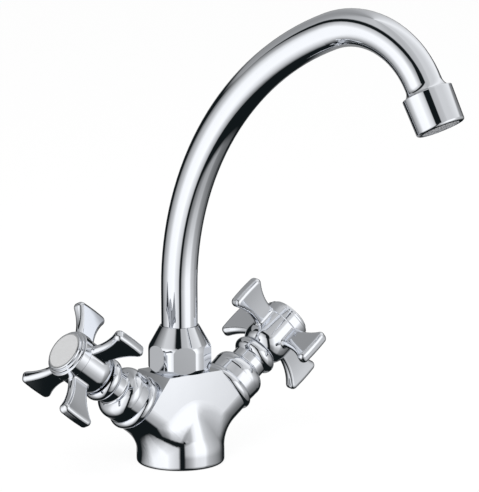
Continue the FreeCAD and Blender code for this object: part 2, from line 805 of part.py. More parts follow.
def build_shroud(name, place):
    """Bell-shaped shroud with a rounded flange, and the rounded ring nut that clamps it."""
    flange_top = "(arm_length + shroud_flange_height)"
    flange_edge = "(shroud_flange_radius - shroud_flange_bulge)"
    flange_round = "((shroud_flange_height / 2) ^ 2 + shroud_flange_bulge ^ 2) / 2 / shroud_flange_bulge"
    inside = "(shroud_radius - shroud_wall)"
    turned(f"{name}_shroud", place, [
        ("valve_flange_radius + free_gap", "arm_length"),
        (flange_edge, "arm_length"),
        (flange_edge, flange_top, flange_round, -1),
        ("shroud_radius - 0.6", flange_top),
        ("shroud_radius - 0.3", f"{flange_top} + 0.3"),
        ("shroud_radius - 0.1", "shroud_shoulder_start", "60", -1),
        ("shroud_neck_radius + 0.5", "shroud_shoulder_end", "5.8", -1),
        ("shroud_neck_radius", "shroud_shoulder_end + 0.8", "1", 1),
        ("shroud_neck_radius", "shroud_top"),
        ("valve_neck_radius + free_gap", "shroud_top"),
        ("valve_neck_radius + free_gap", "shroud_shoulder_end - shroud_wall"),
        (inside, "shroud_shoulder_start", "5.6", 1),
        (inside, f"{flange_top} + 0.5"),
        ("valve_flange_radius + free_gap", f"{flange_top} - 1.5"),
    ])
    ring_edge = "(ring_radius - ring_bulge)"
    turned(f"{name}_ring_nut", place, [
        ("valve_neck_radius + thread_gap", "shroud_top"),
        ("shroud_neck_radius + 0.3", "shroud_top"),
        (ring_edge, "ring_top - ring_bead"),
        (ring_edge, "ring_top", "((ring_bead / 2) ^ 2 + ring_bulge ^ 2) / 2 / ring_bulge", -1),
        ("clip_radius + 2", "ring_top"),
        ("clip_radius + 2", "valve_top"),
        ("valve_neck_radius + thread_gap", "valve_top"),
    ])


def build_handle(name, side):
    """Everything that turns with one handle."""
    place = arm_frame(side)
    clocked = arm_frame(side, f"{name}_clock", "spindle_length")
    build_disc(f"{name}_moving_disc", place, MOVING_LOW)
    build_spindle(name, place)
    seal_ring(f"{name}_spindle_seal", place, [
        ("spindle_radius - seal_width / 2", "seal_width / 2", "spindle_seal_height"),
    ])
    clip = new_body(f"{name}_retaining_clip", place)
    sketch = new_sketch(clip, f"{name}_clip_outline", "XY_Plane", CLIP_LOW)
    ring_outline(sketch, "clip_radius")
    ring_outline(sketch, "spindle_radius - spline_depth + film_gap")
    extrude(clip, f"{name}_clip_ring", sketch, "clip_thickness")
    gap = new_sketch(clip, f"{name}_clip_gap", "XY_Plane", CLIP_LOW)
    outline(gap, [
        ("0", "-clip_radius / 3"),
        ("2 * clip_radius", "-clip_radius / 3"),
        ("2 * clip_radius", "clip_radius / 3"),
        ("0", "clip_radius / 3"),
    ])
    extrude(clip, f"{name}_clip_opening", gap, "clip_thickness", "Pocket", backwards=True)
    build_cross(name, clocked)
    turned(f"{name}_cap", clocked, [
        ("0", "rim_top"),
        ("cap_bore_radius - thread_gap - cap_skirt_wall", "rim_top"),
        ("cap_bore_radius - thread_gap - cap_skirt_wall", "rim_top - cap_skirt_length"),
        ("cap_bore_radius - thread_gap", "rim_top - cap_skirt_length"),
        ("cap_bore_radius - thread_gap", "rim_top"),
        ("cap_radius", "rim_top"),
        ("cap_radius", "cap_step - 0.5"),
        ("cap_radius - 0.5", "cap_step", "0.5", -1),
        ("cap_disc_radius + 0.1", "cap_step"),
        ("cap_disc_radius", "cap_top - 0.6"),
        ("cap_disc_radius - 0.6", "cap_top", "0.6", -1),
        ("0", "cap_top"),
    ])
    screw = turned(f"{name}_handle_screw", clocked, [
        ("0", f"-{SCREW_DEPTH}"),
        ("screw_radius", f"-{SCREW_DEPTH}"),
        ("screw_radius", WEB_TOP),
        ("screw_head_radius", WEB_TOP),
        ("screw_head_radius", f"{WEB_TOP} + screw_head_height"),
        ("0", f"{WEB_TOP} + screw_head_height"),
    ])
    cross = new_sketch(screw, f"{name}_screw_cross", "XY_Plane", f"{WEB_TOP} + screw_head_height")
    arm, half = "screw_head_radius * 0.6", "screw_head_radius * 0.14"
    outline(cross, [
        (arm, half), (half, half), (half, arm), (f"-{half}", arm), (f"-{half}", half), (f"-{arm}", half),
        (f"-{arm}", f"-{half}"), (f"-{half}", f"-{half}"), (f"-{half}", f"-{arm}"), (half, f"-{arm}"),
        (half, f"-{half}"), (arm, f"-{half}"),
    ])
    extrude(screw, f"{name}_screw_slot", cross, "screw_head_height / 2", "Pocket")


def build_spindle(name, place):
    """Brass spindle with a driver plate below, a seal groove and a splined end."""
    body = new_body(f"{name}_spindle", place)
    groove = "(spindle_radius - seal_width - 0.05)"
    spin(body, f"{name}_spindle_turned", [
        ("0", DRIVER_LOW),
        ("disc_radius", DRIVER_LOW),
        ("disc_radius", DRIVER_TOP),
        ("spindle_radius", DRIVER_TOP),
        ("spindle_radius", "spindle_seal_height - seal_width / 2 - film_gap"),
        (groove, "spindle_seal_height - seal_width / 2 - film_gap"),
        (groove, "spindle_seal_height + seal_width / 2 + film_gap"),
        ("spindle_radius", "spindle_seal_height + seal_width / 2 + film_gap"),
        ("spindle_radius", f"{CLIP_LOW} - film_gap"),
        ("spindle_radius - spline_depth", f"{CLIP_LOW} - film_gap"),
        ("spindle_radius - spline_depth", f"{CLIP_LOW} + clip_thickness + film_gap"),
        ("spindle_radius", f"{CLIP_LOW} + clip_thickness + film_gap"),
        ("spindle_radius", "spindle_length"),
        ("screw_radius + film_gap", "spindle_length"),
        ("screw_radius + film_gap", f"spindle_length - {SCREW_DEPTH} - free_gap"),
        ("0", f"spindle_length - {SCREW_DEPTH} - free_gap"),
    ])
    notch = new_sketch(body, f"{name}_spline_notch", "XY_Plane", "spindle_length")
    outline(notch, [
        ("spindle_radius - spline_depth", "0"),
        ("spindle_radius + spline_depth / 2", "-spline_depth"),
        ("spindle_radius + spline_depth / 2", "spline_depth"),
    ])
    tooth = extrude(body, f"{name}_spline_cut", notch, "spline_length", "Pocket")
    polar(body, f"{name}_spline", [tooth], "spline_teeth")


def build_cross(name, place):
    """Cross handle: a cup-shaped drum with a rim, and four wings that widen and thicken outwards."""
    body = new_body(f"{name}_handle", place)
    wing_sketch = new_sketch(body, f"{name}_wing_outline")
    corner = "(wing_reach - wing_end_bulge)"
    outline(wing_sketch, [
        ("drum_radius - 1", "wing_neck_low"),
        (corner, "wing_low", "wing_side_radius", 1),
        (corner, "wing_high", "(wing_high - wing_low) ^ 2 / 8 / wing_end_bulge + wing_end_bulge / 2", -1),
        ("drum_radius - 1", "wing_neck_high", "wing_side_radius", 1),
    ])
    wing = extrude(body, f"{name}_wing", wing_sketch, "wing_end_thickness", both_ways=True)
    flank_sketch = new_sketch(body, f"{name}_wing_flanks", "XY_Plane", "wing_low - 1")
    flare = "(wing_end_thickness - wing_thickness) / 2"
    spread = "(wing_reach - wing_flare_start)"
    for sign in ("", "-"):
        outline(flank_sketch, [
            ("drum_radius - 2", f"{sign}wing_thickness / 2"),
            ("wing_flare_start", f"{sign}wing_thickness / 2"),
            (
                "wing_reach",
                f"{sign}wing_end_thickness / 2",
                f"{spread} ^ 2 / 2 / ({flare}) + ({flare}) / 2",
                1 if sign else -1,
            ),
            ("wing_reach", f"{sign}wing_end_thickness"),
            ("drum_radius - 2", f"{sign}wing_end_thickness"),
        ])
    flanks = extrude(
        body,
        f"{name}_wing_hollows",
        flank_sketch,
        "wing_high - wing_low + 2",
        "Pocket",
        backwards=True,
    )
    wings = polar(body, f"{name}_wings", [wing, flanks], "4")
    tips = round_edges(
        body,
        f"{name}_wing_corners",
        wings,
        lambda edge, faces: crosses_wing(edge, "wing_reach - 2 * wing_end_bulge", "wing_reach"),
        "wing_corner",
    )
    round_edges(body, f"{name}_wing_rims", tips, is_wing_rim, "wing_round")
    drum_low = "(ring_top + drum_gap - spindle_length)"
    narrowing = "(drum_radius - drum_foot_radius)"
    drum = spin(body, f"{name}_drum", [
        ("0", drum_low),
        ("drum_foot_radius", drum_low),
        (
            "drum_radius",
            f"{drum_low} + drum_shoulder",
            f"(drum_shoulder ^ 2 + {narrowing} ^ 2) / 2 / {narrowing}",
            -1,
        ),
        ("drum_radius", "rim_top"),
        ("0", "rim_top"),
    ])
    round_edges(
        body,
        f"{name}_wing_roots",
        drum,
        lambda edge, faces: len({is_turned(face) for face in faces}) == 2,
        "root_round",
    )
    spin(body, f"{name}_rim", [
        ("cap_bore_radius", "rim_start"),
        ("drum_radius", "rim_start"),
        ("rim_radius", "rim_start + 0.5", "0.6", -1),
        ("rim_radius", "rim_top - 0.6"),
        ("rim_radius - 0.6", "rim_top", "0.6", -1),
        ("cap_bore_radius", "rim_top"),
    ])
    spin(body, f"{name}_handle_bore", [
        ("0", f"{drum_low} - 1"),
        ("socket_radius", f"{drum_low} - 1"),
        ("socket_radius", f"{drum_low} + socket_depth"),
        ("spindle_radius + film_gap", f"{drum_low} + socket_depth"),
        ("spindle_radius + film_gap", "film_gap"),
        ("screw_radius + thread_gap", "film_gap"),
        ("screw_radius + thread_gap", WEB_TOP),
        ("cap_bore_radius", WEB_TOP),
        ("cap_bore_radius", "rim_top + 1"),
        ("0", "rim_top + 1"),
    ], "Groove")


def check_and_export():
    """Stop if anything failed, and write each piece to its own file."""
    doc.recompute()
    for item in doc.Objects:
        if "Invalid" in item.State or "Error" in item.State:
            raise SystemExit(f"{item.Label} failed: {item.State}")
    os.makedirs("parts", exist_ok=True)
    for piece in pieces:
        if piece.Shape.isNull() or not piece.Shape.isValid():
            raise SystemExit(f"{piece.Label} has no valid shape")
        piece.Shape.exportStep(f"parts/{piece.Label}.step")
        box = piece.Shape.BoundBox
        print(f"{piece.Label}: {len(piece.Shape.Solids)} solid, {piece.Shape.Volume:.1f} mm3,"
              f" z {box.ZMin:.2f} to {box.ZMax:.2f}")


build_casting()
build_spout()
build_spout_nut()
build_outlet()
for name, side in (("left", -1), ("right", 1)):
    build_valve(name, side)
    build_handle(name, side)
check_and_export()
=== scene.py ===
# %% [markdown]
# # A chrome mixer tap, dressed for its picture
#
# The tap is already built: a swan-neck spout, two raised valve arms and two cross handles, each piece at
# its real size. This lesson gives it its looks. Chrome has almost no colour of its own, so most of the
# work lies in what it mirrors, and in the small differences between one polished piece and the next.

# %% [markdown]
# ## Load the frame
#
# The pieces could be modelled again here, but then they would no longer fit each other. They are loaded
# as a fixed frame, and everything below only adds finish, light and a camera.

# %% Load the pieces
import json
import math

import bmesh
import bpy
from mathutils import Matrix, Vector


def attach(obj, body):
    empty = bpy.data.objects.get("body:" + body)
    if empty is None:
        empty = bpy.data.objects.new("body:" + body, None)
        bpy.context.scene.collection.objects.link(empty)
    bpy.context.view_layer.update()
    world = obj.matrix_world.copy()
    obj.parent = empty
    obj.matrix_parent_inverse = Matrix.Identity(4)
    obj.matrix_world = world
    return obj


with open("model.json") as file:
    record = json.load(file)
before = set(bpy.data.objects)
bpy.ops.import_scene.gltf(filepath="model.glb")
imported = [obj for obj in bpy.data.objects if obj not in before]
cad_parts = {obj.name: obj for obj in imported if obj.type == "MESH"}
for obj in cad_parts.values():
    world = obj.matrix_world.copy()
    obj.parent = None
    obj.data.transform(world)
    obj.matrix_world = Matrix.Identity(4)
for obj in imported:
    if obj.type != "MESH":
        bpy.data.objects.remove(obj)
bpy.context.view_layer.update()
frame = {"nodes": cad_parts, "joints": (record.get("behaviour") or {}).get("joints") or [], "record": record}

pieces = frame["nodes"]
record = frame["record"]

# %% [markdown]
# ## Shader sums as plain arithmetic
#
# A shader is a graph of nodes, and long sums are hard to read there. A small class that wraps one socket
# and answers to + - * / lets a finish be written as a formula. Numbers go through Math nodes, colours
# through Mix nodes and vectors through Vector Math nodes, because a Math node would turn a colour grey.


# %% The socket class
class Signal:
    """The output of a node, which can be added, multiplied and passed on."""

    def __init__(self, tree, socket=None):
        self.tree = tree
        self.socket = socket

    def node(self, kind, settings=None, sockets=None, output=0):
        """Add a node: its settings first, then the values or links of its sockets."""
        made = self.tree.nodes.new(kind)
        for name, setting in (settings or {}).items():
            if name == "stops":
                elements = made.color_ramp.elements
                elements.remove(elements[1])
                elements[0].position = setting[0][0]
                for place, level in setting:
                    stop = elements[0] if place == setting[0][0] else elements.new(place)
                    stop.color = (level, level, level, 1)
            else:
                setattr(made, name, setting)
        for name, value in (sockets or {}).items():
            if isinstance(value, Signal):
                self.tree.links.new(value.socket, made.inputs[name])
            else:
                made.inputs[name].default_value = value
        return Signal(self.tree, made.outputs[output] if made.outputs else None)

    def combine(self, operation, other, flipped=False):
        """One sum of this signal and another signal or number."""
        kinds = {self.socket.type}
        if isinstance(other, Signal):
            kinds.add(other.socket.type)
        elif isinstance(other, (int, float)) and "RGBA" in kinds:
            other = (other, other, other, 1)
        elif isinstance(other, (int, float)) and "VECTOR" in kinds:
            other = (other, other, other)
        first, second = (other, self) if flipped else (self, other)
        if "RGBA" in kinds:
            sockets = {"Factor": 1.0, 6: first, 7: second}
            return self.node("ShaderNodeMix", {"data_type": "RGBA", "blend_type": operation}, sockets, 2)
        if "VECTOR" in kinds:
            return self.node("ShaderNodeVectorMath", {"operation": operation}, {0: first, 1: second})
        return self.node("ShaderNodeMath", {"operation": operation}, {0: first, 1: second})

    def __add__(self, other):
        return self.combine("ADD", other)

    def __radd__(self, other):
        return self.combine("ADD", other, True)

    def __sub__(self, other):
        return self.combine("SUBTRACT", other)

    def __rsub__(self, other):
        return self.combine("SUBTRACT", other, True)

    def __mul__(self, other):
        return self.combine("MULTIPLY", other)

    def __rmul__(self, other):
        return self.combine("MULTIPLY", other, True)

    def __truediv__(self, other):
        return self.combine("DIVIDE", other)

    def __rtruediv__(self, other):
        return self.combine("DIVIDE", other, True)


def blank_tree(owner):
    """An empty node tree for a material or world, as the start of a formula."""
    owner.use_nodes = True
    owner.node_tree.nodes.clear()
    return Signal(owner.node_tree)


print("socket class ready")

# %% [markdown]
# ## The camera
#
# The picture was taken a little above the tap and from its left front. A long lens keeps the two handles
# nearly the same size, so the camera stands well back. Its place is found from two angles and a distance,
# which are easier to set than three coordinates.

# %% Camera
CAMERA_AZIMUTH = math.radians(-35.9)
CAMERA_ELEVATION = math.radians(10.8)
CAMERA_ROLL = math.radians(-0.24)
CAMERA_DISTANCE = 1.7441
CAMERA_LENS = 259.98
AIM_SIDEWAYS = 0.02972
AIM_HEIGHT = 0.10859

toward_camera = Vector((
    math.sin(CAMERA_AZIMUTH) * math.cos(CAMERA_ELEVATION),
    -math.cos(CAMERA_AZIMUTH) * math.cos(CAMERA_ELEVATION),
    math.sin(CAMERA_ELEVATION),
))
picture_right = Vector((math.cos(CAMERA_AZIMUTH), math.sin(CAMERA_AZIMUTH), 0))
picture_up = toward_camera.cross(picture_right)


def build_camera():
    """A long lens at the photograph's angle."""
    lens = bpy.data.cameras.new("camera")
    lens.lens = CAMERA_LENS
    lens.clip_end = 20
    camera = bpy.data.objects.new("camera", lens)
    bpy.context.scene.collection.objects.link(camera)
    place = Matrix((picture_right, picture_up, toward_camera)).transposed().to_4x4()
    place = place @ Matrix.Rotation(CAMERA_ROLL, 4, "Z")
    aim = picture_right * AIM_SIDEWAYS + Vector((0, 0, AIM_HEIGHT))
    place.translation = aim + toward_camera * CAMERA_DISTANCE
    camera.matrix_world = place
    bpy.context.scene.camera = camera
    return camera


print("camera at", [round(value, 3) for value in build_camera().location])

# %% [markdown]
# ## The light tent
#
# Chrome is photographed inside a light tent: white cloth panels give the broad highlights, and the gaps
# between the panels draw the dark lines that make metal look like metal. Real panels could be built as
# lit planes. A large ball whose inside glows in the pattern of the panels is simpler to tune, because the
# pattern then depends only on the direction that a reflection looks in. Only reflections see the ball.
#
# A flat panel that faces the tap has straight edges. Seen from the tap, a level edge of it lies at one
# rise, the angle above the floor measured in the upright plane that faces the panel. So each panel is two
# ramps multiplied: one across, by the turn around the tap, and one upright, by the rise. Both list pairs
# of degrees and brightness. A grey ceiling closes the tent from above, with a dark frame between it and
# the left panel. A dark card stands at the frame's corner, and a grey backdrop lies behind the tap.

# %% Tent pattern
TENT_RADIUS = 0.6
TENT_HEIGHT = 0.05
CHROME_TINT = (0.83, 0.85, 0.89)
HEADING = math.atan2(toward_camera.y, toward_camera.x)

LEFT_PANEL = {
    "facing": -50,
    "across": ((-126, 0), (-120, 0.5), (-104, 0.66), (-88, 0.76), (-70, 0.97), (-33, 1), (-25, 0.92),
               (-4, 0.8), (1, 0)),
    "upright": ((-80, 0), (-68, 0.6), (-50, 0.83), (-32, 0.97), (-25, 1), (25, 1), (36, 0.86),
                (48, 0.74), (51, 0)),
}
RIGHT_PANEL = {
    "facing": 70,
    "across": ((11, 0), (15, 0.7), (30, 0.84), (42, 1), (69, 1), (74, 0.88), (81, 0.78), (98, 0.7),
               (122, 0.6), (136, 0.4), (146, 0)),
    "upright": ((-56, 0), (-50, 0.6), (-38, 0.66), (-26, 0.78), (-12, 0.97), (-5, 1), (27, 1), (33, 0.8)),
}
CEILING_TURN = ((-180, 0.6), (-150, 0.55), (-120, 0.58), (-90, 0.68), (-30, 0.75), (15, 0.69),
                (50, 0.76), (80, 0.84), (110, 0.93), (135, 0.85), (160, 0.7), (180, 0.6))
CEILING_LIFT = (24, 30)
FRAME_LEFT = (-112, -105)
FRAME_RIGHT = (12, 19)
FRAME_RISE = (61, 66)
CARD_TURN = (-4, 16)
CARD_LIFT = (22, 25)
BACKDROP_LEVEL = 0.5
BACKDROP_TURN = (157, 165)
BACKDROP_LIFT = (-58, -50)
ROOM_GLOW = (0.006, 0.0085, 0.0095)
TO_DEGREES = 180 / math.pi


def light(level):
    """The amount of light that shows as a given brightness on the screen, by the sRGB curve."""
    return ((level + 0.055) / 1.055) ** 2.4 if level > 0.04 else level / 12.92


def ramp(signal, pairs, low, high):
    """Brightness that follows a signal between the two ends of its range."""
    stops = [((place - low) / (high - low), light(level)) for place, level in pairs]
    sockets = {"Value": signal, "From Min": low, "From Max": high}
    spot = signal.node("ShaderNodeMapRange", None, sockets)
    return signal.node("ShaderNodeValToRGB", {"stops": stops}, {"Fac": spot})


def step(signal, low, high):
    """A soft step from 0 to 1 between two values."""
    settings = {"interpolation_type": "SMOOTHSTEP"}
    sockets = {"Value": signal, "From Min": low, "From Max": high}
    return signal.node("ShaderNodeMapRange", settings, sockets)


def between(signal, low, high, soft=3):
    """1 between two values, falling softly to 0 outside them."""
    return step(signal, low - soft, low) * (1 - step(signal, high, high + soft))


def lighter(one, other):
    """The brighter of two lights at each point."""
    settings = {"data_type": "RGBA", "blend_type": "LIGHTEN"}
    return one.node("ShaderNodeMix", settings, {"Factor": 1.0, 6: one, 7: other}, 2)


print("panels face", LEFT_PANEL["facing"], "and", RIGHT_PANEL["facing"], "degrees from the camera")

# %% [markdown]
# ## Hang the tent around the tap
#
# The ball's radius is a little over half a metre, because real panels stand close: then the foot of the
# tap and the top of its spout mirror slightly different parts of them. A far-away sky couldn't do that.
# Each place on the ball is read as a turn, a lift and a rise, and the brightest panel there wins. Chrome
# gives back a little less light than it gets, so the tent glows stronger by the same share.


# %% Tent
def angle_of(upper, lower):
    """The angle whose two sides are given, in degrees."""
    settings = {"operation": "ARCTAN2"}
    return upper.node("ShaderNodeMath", settings, {0: upper, 1: lower}) * TO_DEGREES


def tent_glow(tree):
    """How bright the tent is in each direction from its middle."""
    position = tree.node("ShaderNodeTexCoord", None, None, 3)
    ray = position.node("ShaderNodeVectorMath", {"operation": "NORMALIZE"}, {0: position})
    x, y, z = (ray.node("ShaderNodeSeparateXYZ", None, {0: ray}, axis) for axis in range(3))
    ahead = x * math.cos(HEADING) + y * math.sin(HEADING)
    aside = y * math.cos(HEADING) - x * math.sin(HEADING)

    def rise_toward(facing):
        turned = math.radians(facing)
        return angle_of(z, ahead * math.cos(turned) + aside * math.sin(turned))

    def panel(shape):
        across = ramp(turn, shape["across"], -180, 180)
        return across * ramp(rise_toward(shape["facing"]), shape["upright"], -90, 90)

    turn = angle_of(aside, ahead)
    lift = z.node("ShaderNodeMath", {"operation": "ARCSINE"}, {0: z}) * TO_DEGREES
    below_frame = 1 - step(rise_toward(LEFT_PANEL["facing"]), *FRAME_RISE)
    framed = step(turn, *FRAME_LEFT) * (1 - step(turn, *FRAME_RIGHT)) * below_frame
    ceiling = ramp(turn, CEILING_TURN, -180, 180) * step(lift, *CEILING_LIFT) * (1 - framed)
    behind = turn.node("ShaderNodeMath", {"operation": "ABSOLUTE"}, {0: turn})
    backdrop = step(behind, *BACKDROP_TURN) * step(lift, *BACKDROP_LIFT) * light(BACKDROP_LEVEL)
    card = between(turn, *CARD_TURN) * step(lift, *CARD_LIFT) * below_frame
    room = tree.node("ShaderNodeCombineColor", None, dict(zip(("Red", "Green", "Blue"), ROOM_GLOW)))
    panels = lighter(lighter(panel(LEFT_PANEL), panel(RIGHT_PANEL)), lighter(ceiling, backdrop))
    return room + panels * (1 - card)


def build_tent():
    """A ball around the tap whose inside glows in panels, seen by reflections alone."""
    place = (0, 0, TENT_HEIGHT)
    bpy.ops.mesh.primitive_uv_sphere_add(segments=64, ring_count=32, radius=TENT_RADIUS, location=place)
    tent = bpy.context.object
    tent.name = "light_tent"
    cloth = bpy.data.materials.new("tent_cloth")
    tree = blank_tree(cloth)
    sockets = {"Color": tent_glow(tree), "Strength": 1 / CHROME_TINT[1]}
    shine = tree.node("ShaderNodeEmission", None, sockets)
    tree.node("ShaderNodeOutputMaterial", None, {"Surface": shine})
    tent.data.materials.append(cloth)
    for ray_kind in ("camera", "diffuse", "transmission", "volume_scatter", "shadow"):
        setattr(tent, f"visible_{ray_kind}", False)
    return tent


tent = build_tent()
print(f"tent of {TENT_RADIUS} m with {len(tent.data.materials[0].node_tree.nodes)} nodes")

# %% [markdown]
# ## Floor and background
#
# The tap stands in front of plain white. More light would bleach the metal, so the floor and the world
# show white to the camera's own rays and stay at a plain level for everything else. The floor keeps a
# fifth of its lit look, which is enough for a faint shadow under the base.

# %% Floor and world
FLOOR_SIZE = 12.0
FLOOR_GREY = 0.9
FLOOR_GLOW = 1.1
FLOOR_WHITE_SHARE = 0.8
PLAIN_LEVEL = 0.55


def light_path(tree, kind):
    """1 for rays of one kind, and 0 for the others."""
    return tree.node("ShaderNodeLightPath", None, None, f"Is {kind} Ray")


def build_floor():
    """A plain pale floor that stays white in the picture and keeps a faint shadow."""
    bpy.ops.mesh.primitive_plane_add(size=FLOOR_SIZE)
    floor = bpy.context.object
    floor.name = "floor"
    paper = bpy.data.materials.new("floor_paper")
    tree = blank_tree(paper)
    lit = tree.node("ShaderNodeBsdfDiffuse", None, {"Color": (FLOOR_GREY, FLOOR_GREY, FLOOR_GREY, 1)})
    bright = tree.node("ShaderNodeEmission", None, {"Color": (1, 1, 1, 1), "Strength": FLOOR_GLOW})
    seen = light_path(tree, "Camera") * FLOOR_WHITE_SHARE
    surface = tree.node("ShaderNodeMixShader", None, {0: seen, 1: lit, 2: bright})
    tree.node("ShaderNodeOutputMaterial", None, {"Surface": surface})
    floor.data.materials.append(paper)
    floor.visible_glossy = False


def build_world():
    """White behind the tap, and an even pale light on it."""
    world = bpy.data.worlds.new("studio")
    bpy.context.scene.world = world
    tree = blank_tree(world)
    seen = light_path(tree, "Camera") + light_path(tree, "Glossy") + light_path(tree, "Transmission")
    strength = PLAIN_LEVEL + seen * (1 - PLAIN_LEVEL)
    sky = tree.node("ShaderNodeBackground", None, {"Color": (1, 1, 1, 1), "Strength": strength})
    tree.node("ShaderNodeOutputWorld", None, {"Surface": sky})


bpy.context.scene.view_settings.view_transform = "Standard"
build_floor()
build_world()
print(f"floor of {FLOOR_SIZE:.0f} m, plain light at {PLAIN_LEVEL}")

# %% [markdown]
# ## Two soft lamps
#
# The tent only shows in reflections, so the satin discs, the gauze and the rubber need light of their
# own. One key lamp and one weaker fill lamp do, both as large as an umbrella. They are kept out of the
# reflections, where they would add two squares that the picture doesn't have.

# %% Lamps
LAMP_SIZE = 0.8
LAMP_AIM = Vector((0, 0, 0.1))


def build_lamp(name, energy, place):
    """A soft square lamp that lights the tap but isn't mirrored in it."""
    data = bpy.data.lights.new(name, "AREA")
    data.energy = energy
    data.size = LAMP_SIZE
    lamp = bpy.data.objects.new(name, data)
    bpy.context.scene.collection.objects.link(lamp)
    lamp.location = place
    lamp.rotation_euler = (LAMP_AIM - Vector(place)).to_track_quat("-Z", "Y").to_euler()
    lamp.visible_glossy = False


build_lamp("key_lamp", energy=9, place=(-1.0, -0.9, 1.1))
build_lamp("fill_lamp", energy=4, place=(1.1, -0.6, 0.7))
print([lamp.name for lamp in bpy.data.lights])

# %% [markdown]
# ## Finishes as short formulas
#
# Every finish starts from the same few parts: a place on the piece in metres, noise of a chosen size, and
# a bump that turns a height into a tilt. The place is read in the piece's own space, so that a finish
# turns with its handle and never slides over it. A colour or a roughness swings around a middle value, so
# a formula names only how wide it swings.

# %% Parts of a finish
MILLIMETRE = 0.001


def new_finish(name):
    """An empty material and its formula."""
    material = bpy.data.materials.new(name)
    return material, blank_tree(material)


def place_on(tree):
    """The place on the piece, in metres."""
    return tree.node("ShaderNodeTexCoord", None, None, 3)


def noise(place, size, detail=1.0, seed=0.0):
    """Soft noise from 0 to 1 whose spots are about as wide as the given size."""
    sockets = {"Vector": place, "W": seed, "Scale": 1 / size, "Detail": detail}
    return place.node("ShaderNodeTexNoise", {"noise_dimensions": "4D"}, sockets)


def bump(height, depth):
    """A tilt of the surface from a height of 0 to 1, as deep as given."""
    return height.node("ShaderNodeBump", None, {"Strength": 1.0, "Distance": depth, "Height": height})


def along_axis(place, axis, origin=(0, 0, 0)):
    """How far a place lies along an axis, in metres."""
    settings = {"operation": "DOT_PRODUCT"}
    return place.node("ShaderNodeVectorMath", settings, {0: place - origin, 1: tuple(axis)}, 1)


def from_axis(place, axis, origin):
    """How far a place lies from an axis, in metres."""
    offset = place - origin
    settings = {"operation": "CROSS_PRODUCT"}
    across = offset.node("ShaderNodeVectorMath", settings, {0: offset, 1: tuple(axis)})
    return across.node("ShaderNodeVectorMath", {"operation": "LENGTH"}, {0: across}, 1)


def around(signal, spread, middle=1.0):
    """A value that follows a signal of 0 to 1 to both sides of a middle."""
    return signal * spread + (middle - spread / 2)


def tinted(shade, colour):
    """One colour made lighter or darker by a signal near 1."""
    parts = {name: shade * value for name, value in zip(("Red", "Green", "Blue"), colour)}
    return shade.node("ShaderNodeCombineColor", None, parts)


def shell(tree, varying, fixed=None):
    """The last step: a surface from what varies over it and what is the same all over."""
    surface = tree.node("ShaderNodeBsdfPrincipled", None, {**(fixed or {}), **varying})
    tree.node("ShaderNodeOutputMaterial", None, {"Surface": surface})


print("helpers for place, noise, bump, spread and surface")

# %% [markdown]
# ## Which way each turned piece was turned
#
# Nuts, collars and covers are turned on a lathe, which leaves rings around their own axis. The two arms
# lean away from the spout, so each has an axis of its own, which its joint already holds. The outlet's
# axis follows from how far the spout is turned, and from how far its end is bent over from upright.

# %% Axes
joints = {joint["name"]: joint for joint in frame["joints"]}
LEFT_AXIS = Vector(joints["left_handle_turn"]["axis"])
RIGHT_AXIS = Vector(joints["right_handle_turn"]["axis"])
ARM_FOOT = Vector(joints["left_handle_turn"]["pos_m"])
SPOUT_TURN = math.radians(16)
SPOUT_BEND = math.radians(153)
OUTLET_AXIS = Vector((
    math.sin(SPOUT_TURN) * math.sin(SPOUT_BEND),
    -math.cos(SPOUT_TURN) * math.sin(SPOUT_BEND),
    math.cos(SPOUT_BEND),
))
RIM_DEPTH = 0.01


def mouth_of(name, axis):
    """The middle of a turned piece's far end."""
    points = [vertex.co for vertex in pieces[name].data.vertices]
    reach = max(point.dot(axis) for point in points)
    rim = [point for point in points if point.dot(axis) > reach - RIM_DEPTH * MILLIMETRE]
    return sum(rim, Vector()) / len(rim)


outlet_mouth = mouth_of("aerator_housing", OUTLET_AXIS)
print("outlet mouth at", [round(value / MILLIMETRE, 1) for value in outlet_mouth], "mm")

# %% [markdown]
# ## Chrome
#
# Chrome is a mirror layer a few thousandths of a millimetre thick, so it repeats the form of the metal
# below it. It could be a plain mirror, but then every piece would look the same. What tells them apart
# is how the metal below was made: a casting is buffed by hand and keeps long shallow waves, a turned nut
# keeps faint rings, and a drawn tube is almost perfect. All of them carry a little haze from handling.

# %% Chrome
SMEAR_SIZE = 9
SMEAR_SHADE = 0.03
SMEAR_HAZE = 0.8
RING_PITCH = 0.4


def chrome(name, haze, wave_size, wave_depth, axis=None, ring_depth=0.0):
    """Polished chrome: haze is its roughness, sizes and depths are in millimetres."""
    material, tree = new_finish(name)
    place = place_on(tree)
    smears = noise(place, SMEAR_SIZE * MILLIMETRE, detail=3.0, seed=4.0)
    tilt = bump(noise(place, wave_size * MILLIMETRE), wave_depth * MILLIMETRE)
    if axis:
        along = along_axis(place, axis)
        sockets = {"W": along, "Scale": 1 / (RING_PITCH * MILLIMETRE), "Detail": 2.0}
        rings = along.node("ShaderNodeTexNoise", {"noise_dimensions": "1D"}, sockets)
        sockets = {"Strength": 1.0, "Distance": ring_depth * MILLIMETRE, "Height": rings, "Normal": tilt}
        tilt = rings.node("ShaderNodeBump", None, sockets)
    shell(tree, {
        "Base Color": tinted(around(smears, SMEAR_SHADE), CHROME_TINT),
        "Roughness": haze * around(smears, SMEAR_HAZE),
        "Normal": tilt,
    }, {"Metallic": 1.0})
    return material


